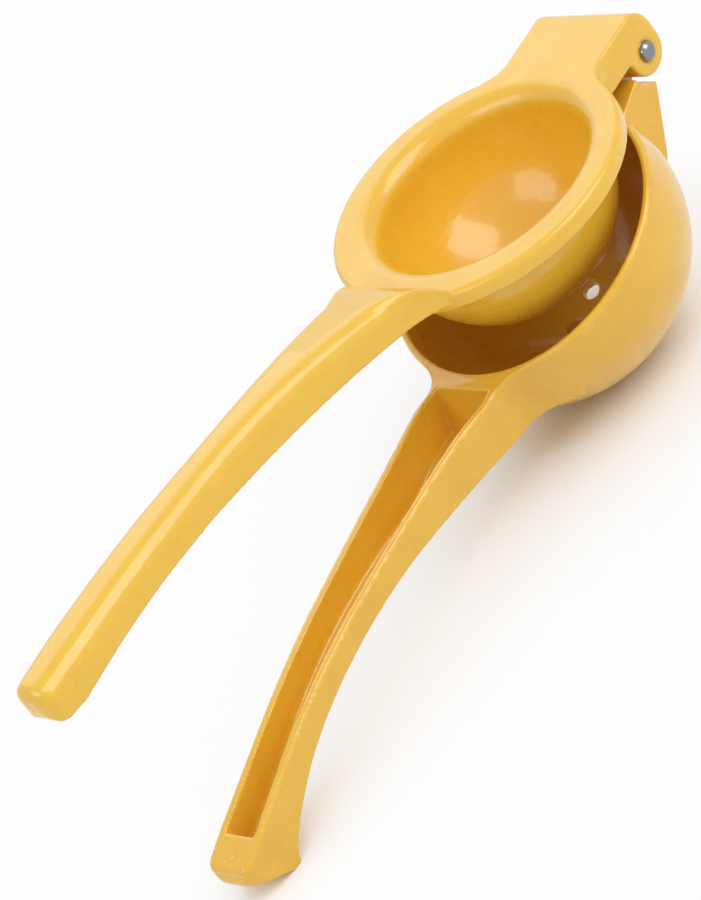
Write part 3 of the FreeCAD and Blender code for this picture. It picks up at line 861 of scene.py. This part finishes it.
@dataclass
class HingePin:
    """The riveted pin, which keeps its own solid, with the full domes of its upset heads."""

    node: bpy.types.Object
    steel: bpy.types.Material
    crease_deg: float = 30.0
    dome_radius_mm: float = 2.42
    dome_height_mm: float = 1.75
    dome_sunk_mm: float = 1.15
    dome_skirt_mm: float = 0.22
    dome_faces: tuple[int, int] = (48, 32)
    dome_crease_deg: float = 50.0

    def build(self) -> None:
        """Gives the pin its finish and its heads."""
        dress(self.node, self.steel)
        select_only(self.node)
        bpy.ops.object.shade_smooth_by_angle(angle=math.radians(self.crease_deg))
        low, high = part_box(self.node.name)
        centre = middle(low, high)
        for side, tip in (("near", high.y), ("far", low.y)):
            self.make_head(f"pin_head_{side}", centre, tip)

    def make_head(self, name: str, centre: Vector, tip: float) -> None:
        """Makes one upset head: a dome that bulges a little over its foot.

        Args:
            name: the piece's name.
            centre: the pin's middle.
            tip: how far the pin's end reaches along Y.
        """
        around, over = self.dome_faces
        select_nothing()
        bpy.ops.mesh.primitive_uv_sphere_add(
            segments=around, ring_count=over, radius=self.dome_radius_mm * MM
        )
        head = bpy.context.active_object
        head.name = head.data.name = name
        bpy.ops.object.mode_set(mode="EDIT")
        bpy.ops.mesh.select_all(action="SELECT")
        bpy.ops.transform.resize(value=(1, 1, self.dome_height_mm / self.dome_radius_mm))
        bpy.ops.mesh.bisect(
            plane_co=(0, 0, -self.dome_skirt_mm * MM),
            plane_no=(0, 0, 1),
            clear_inner=True,
            use_fill=True,
        )
        bpy.ops.object.mode_set(mode="OBJECT")
        bpy.ops.object.shade_smooth_by_angle(angle=math.radians(self.dome_crease_deg))
        outward = Vector((0, math.copysign(1, tip), 0))
        turn = outward.to_track_quat("Z", "Y").to_matrix().to_4x4()
        foot = centre + outward * (abs(tip) - self.dome_sunk_mm * MM)
        head.data.transform(Matrix.Translation(foot) @ turn)
        dress(head, self.steel)
        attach(head, Body.PRESS.value)


# Studio


@dataclass(frozen=True)
class Softbox:
    """One plain softbox that faces the squeezer. Its sizes are in metres."""

    name: str
    azimuth_deg: float
    elevation_deg: float
    width: float
    height: float
    radiance: float
    distance: float = 1.4

    def place(self, target: Vector) -> None:
        """Hangs the softbox in its direction from the target, turned to face it.

        Args:
            target: the point that it faces.
        """
        lamp = bpy.data.lights.new(self.name, "AREA")
        lamp.shape = "RECTANGLE"
        lamp.size = self.width
        lamp.size_y = self.height
        lamp.energy = self.radiance * math.pi * self.width * self.height
        holder = bpy.data.objects.new(self.name, lamp)
        bpy.context.scene.collection.objects.link(holder)
        azimuth = math.radians(self.azimuth_deg)
        elevation = math.radians(self.elevation_deg)
        level = math.cos(elevation)
        way = Vector(
            (math.cos(azimuth) * level, math.sin(azimuth) * level, math.sin(elevation))
        )
        holder.location = target + way * self.distance
        holder.rotation_mode = "QUATERNION"
        holder.rotation_quaternion = way.to_track_quat("Z", "Y")


@dataclass
class Studio:
    """The pale floor, the soft light and the camera, which stands where the photograph's stood."""

    target: Vector
    camera_at_mm: tuple[float, float, float] = (384.518, 578.872, 498.44)
    camera_right: tuple[float, float, float] = (-0.497789, 0.709264, -0.499149)
    camera_down: tuple[float, float, float] = (0.741243, 0.049112, -0.669438)
    view_height_deg: float = 13.34776
    sensor_mm: float = 36.0
    clip: tuple[float, float] = (0.05, 20.0)
    floor_size: float = 8.0
    floor_colour: str = "F4F3F1"
    floor_lift: float = 0.9
    shade_reach: float = 0.05
    shade_samples: int = 8
    open_span: tuple[float, float] = (0.3, 0.85)
    world_light: float = 0.42
    softboxes: tuple[Softbox, ...] = (
        Softbox("softbox_right", 116, 46, 1.0, 1.15, 3.0),
        Softbox("softbox_left", -6, 36, 1.2, 0.7, 2.2),
        Softbox("softbox_back", -130, 36, 1.4, 0.9, 0.9),
    )

    def build(self) -> None:
        """Makes the floor, the lights and the camera."""
        self.lay_floor()
        self.light_world()
        for softbox in self.softboxes:
            softbox.place(self.target)
        self.set_camera()
        bpy.context.scene.view_settings.view_transform = "Standard"

    def lay_floor(self) -> None:
        """Lays the floor, which looks near white to the camera and still takes the shadow."""
        bpy.ops.mesh.primitive_plane_add(size=self.floor_size, location=(0, 0, 0))
        floor = bpy.context.active_object
        floor.name = "studio_floor"
        material = bpy.data.materials.new("matt_white_sweep")
        tree = empty_tree(material)
        colour = {"Color": linear(self.floor_colour)}
        paper = add_node(tree, "ShaderNodeBsdfDiffuse", values=colour).outputs["BSDF"]
        glow = add_node(
            tree, "ShaderNodeEmission", values={"Color": WHITE, "Strength": 1.0}
        ).outputs["Emission"]
        openness = add_node(
            tree,
            "ShaderNodeAmbientOcclusion",
            {"samples": self.shade_samples},
            {"Distance": self.shade_reach},
        ).outputs["AO"]
        clear = add_range(tree, openness, self.open_span, (0.0, self.floor_lift))
        seen = add_node(
            tree,
            "ShaderNodeMath",
            {"operation": "MULTIPLY"},
            links={0: seen_directly(tree), 1: clear},
        ).outputs["Value"]
        surface = add_node(
            tree, "ShaderNodeMixShader", links={0: seen, 1: paper, 2: glow}
        ).outputs["Shader"]
        add_node(tree, "ShaderNodeOutputMaterial", links={"Surface": surface})
        dress(floor, material)
        floor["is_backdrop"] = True

    def light_world(self) -> None:
        """Fills the studio with an even soft light that looks white where it is seen."""
        world = bpy.data.worlds.new("soft_white_studio")
        bpy.context.scene.world = world
        tree = empty_tree(world)
        seen = seen_directly(tree)
        background = add_node(
            tree,
            "ShaderNodeBackground",
            values={"Color": WHITE},
            links={"Strength": add_range(tree, seen, (0.0, 1.0), (self.world_light, 1.0))},
        ).outputs["Background"]
        add_node(tree, "ShaderNodeOutputWorld", links={"Surface": background})

    def set_camera(self) -> None:
        """Puts the camera where the photograph was taken from."""
        camera = bpy.data.cameras.new("photo_camera")
        camera.sensor_width = self.sensor_mm
        camera.lens = self.sensor_mm / 2 / math.tan(math.radians(self.view_height_deg) / 2)
        camera.clip_start, camera.clip_end = self.clip
        holder = bpy.data.objects.new("photo_camera", camera)
        bpy.context.scene.collection.objects.link(holder)
        right = Vector(self.camera_right).normalized()
        up = -Vector(self.camera_down).normalized()
        back = right.cross(up)
        turn = Matrix((right, up, back)).transposed().to_4x4()
        holder.matrix_world = Matrix.Translation(Vector(self.camera_at_mm) * MM) @ turn
        bpy.context.scene.camera = holder


def main() -> None:
    """Builds the squeezer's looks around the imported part."""
    logging.basicConfig(level=logging.INFO, format="%(name)s: %(message)s")
    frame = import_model()
    cad_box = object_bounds()
    nodes = frame["nodes"]
    hinge_mm = tuple(value / MM for value in frame["joints"][0]["pos_m"])
    press_enamel = BakedEnamel("baked_enamel_press", "F1C139", "E9B12A", "F5CC5C").make()
    strainer_enamel = BakedEnamel(
        "baked_enamel_strainer", "EDBB37", "E2A828", "F1C65C", shift_mm=(37, 11, 5)
    ).make()
    steel = UpsetStainless("upset_stainless_steel").make()
    parts = (
        StrainerArm(nodes["strainer_arm"], strainer_enamel, hinge_mm=hinge_mm),
        PressArm(nodes["press_arm"], press_enamel),
        HingePin(nodes["hinge_pin"], steel),
    )
    for part in parts:
        part.build()
        LOG.info("%s is built", type(part).__name__)
    Studio(target=middle(*cad_box)).build()


if __name__ == "__main__":
    main()
